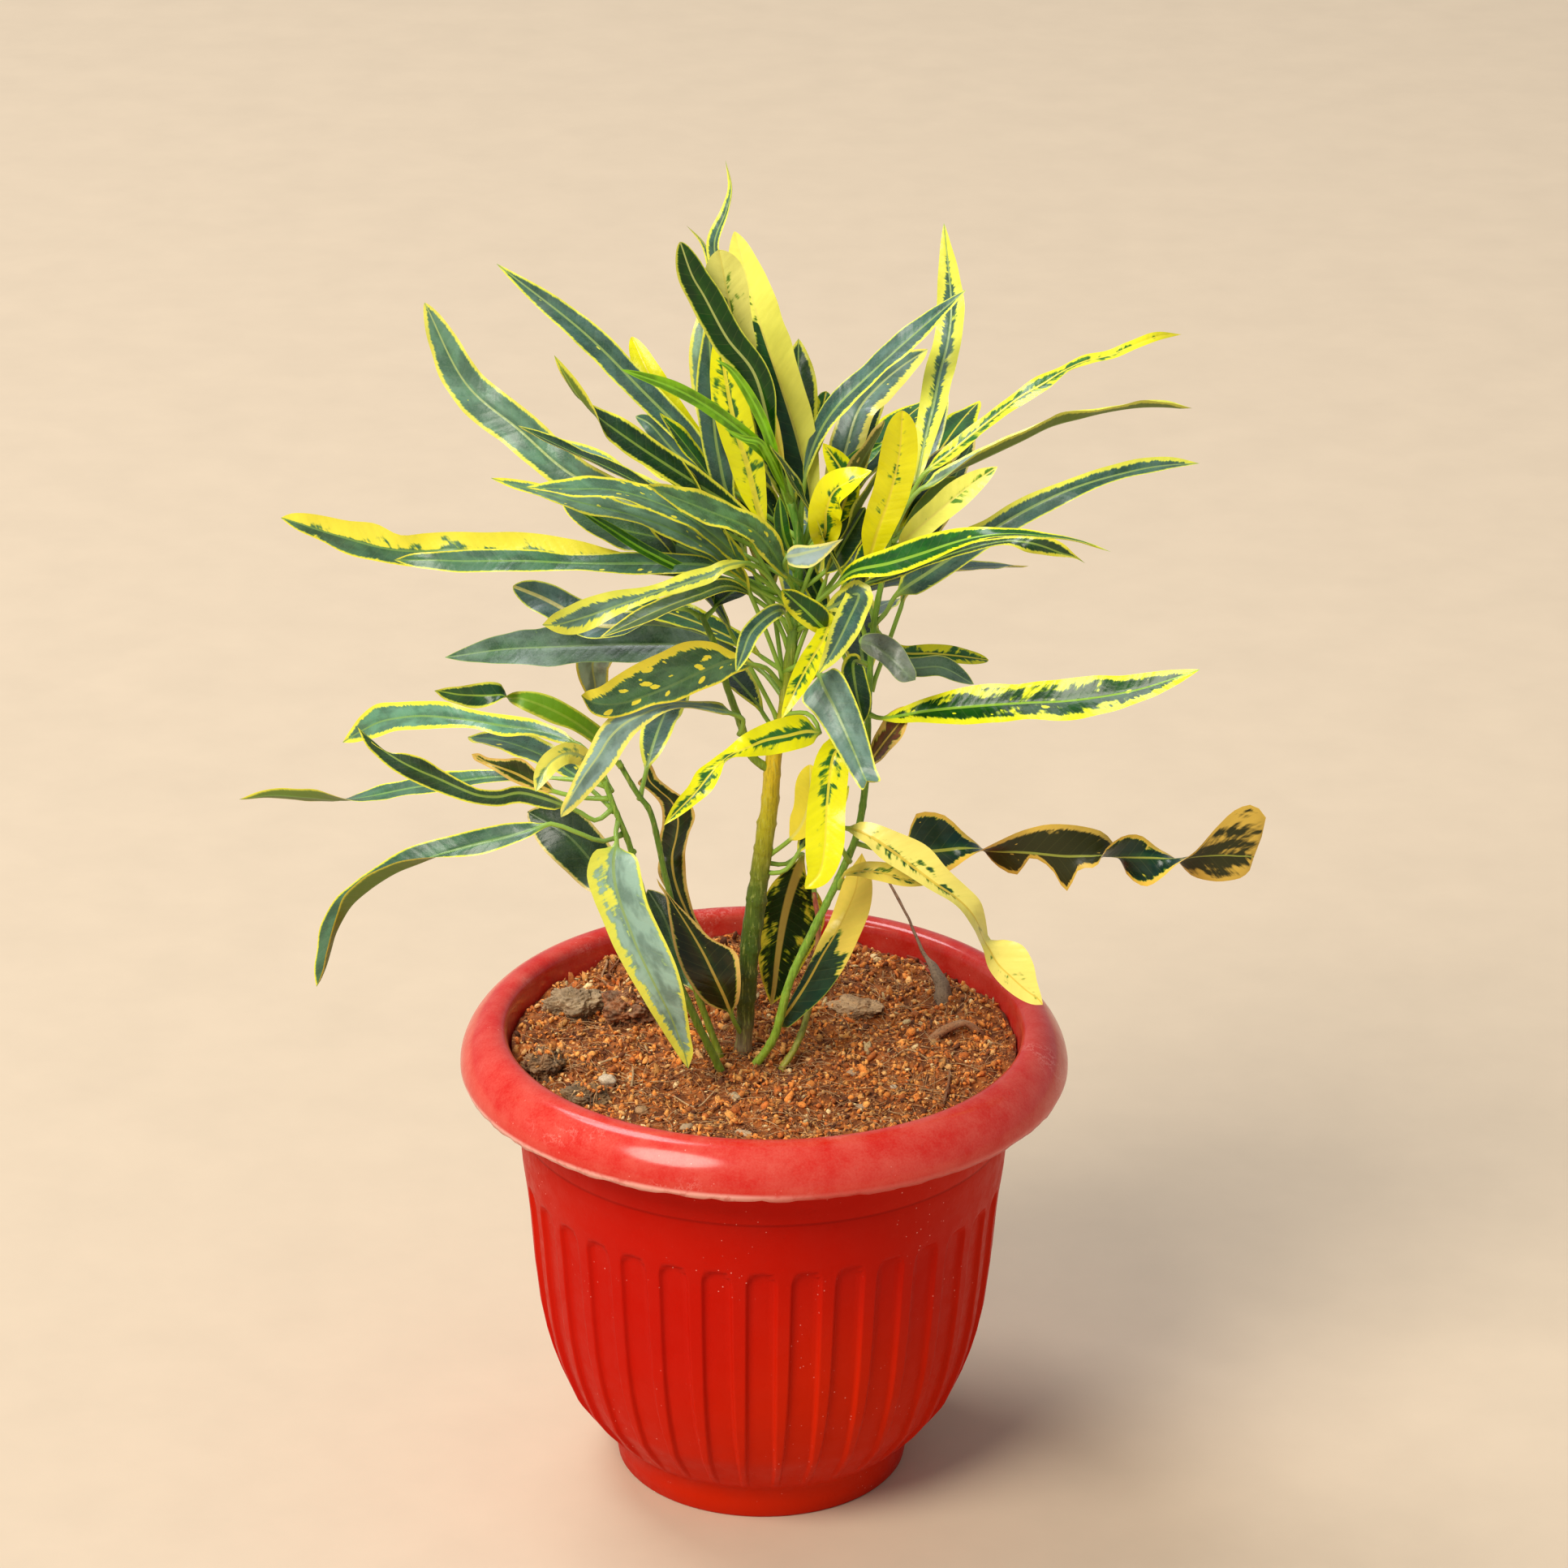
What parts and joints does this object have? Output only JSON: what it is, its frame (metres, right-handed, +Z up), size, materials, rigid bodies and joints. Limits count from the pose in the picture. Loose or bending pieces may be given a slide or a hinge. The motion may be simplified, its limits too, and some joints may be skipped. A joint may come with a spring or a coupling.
{
  "type": "potted croton",
  "caption": "Leafy variegated croton with upright stems rooted in a compost-filled, fluted red plastic pot with a rolled lip; stands on its flat foot as a house plant.",
  "frame": {"origin": "centre of the pot's flat underside", "axes": "+Z up along the pot's axis, +X to the viewer's right, +Y away from the viewer, towards the back of the plant"},
  "size_m": [0.4217, 0.2541, 0.5588],
  "materials": {
    "pot": "satin",
    "compost": "matte",
    "grey_stone": "matte",
    "tan_stone": "matte",
    "clod": "matte",
    "dry_wood": "matte",
    "foliage": "satin"
  },
  "bodies": {
    "root": {"pot": "pot", "soil": "compost", "stone_grey": "grey_stone", "stone_tan": "tan_stone", "clod_brown": "clod", "clod_dark": "clod", "clod_front": "clod", "dry_twig": "dry_wood", "brown_stick": "dry_wood", "main_stem": "foliage", "right_stem": "foliage", "left_shoot": "foliage", "left_twig": "foliage", "low_shoot": "foliage"}
  },
  "joints": []
}
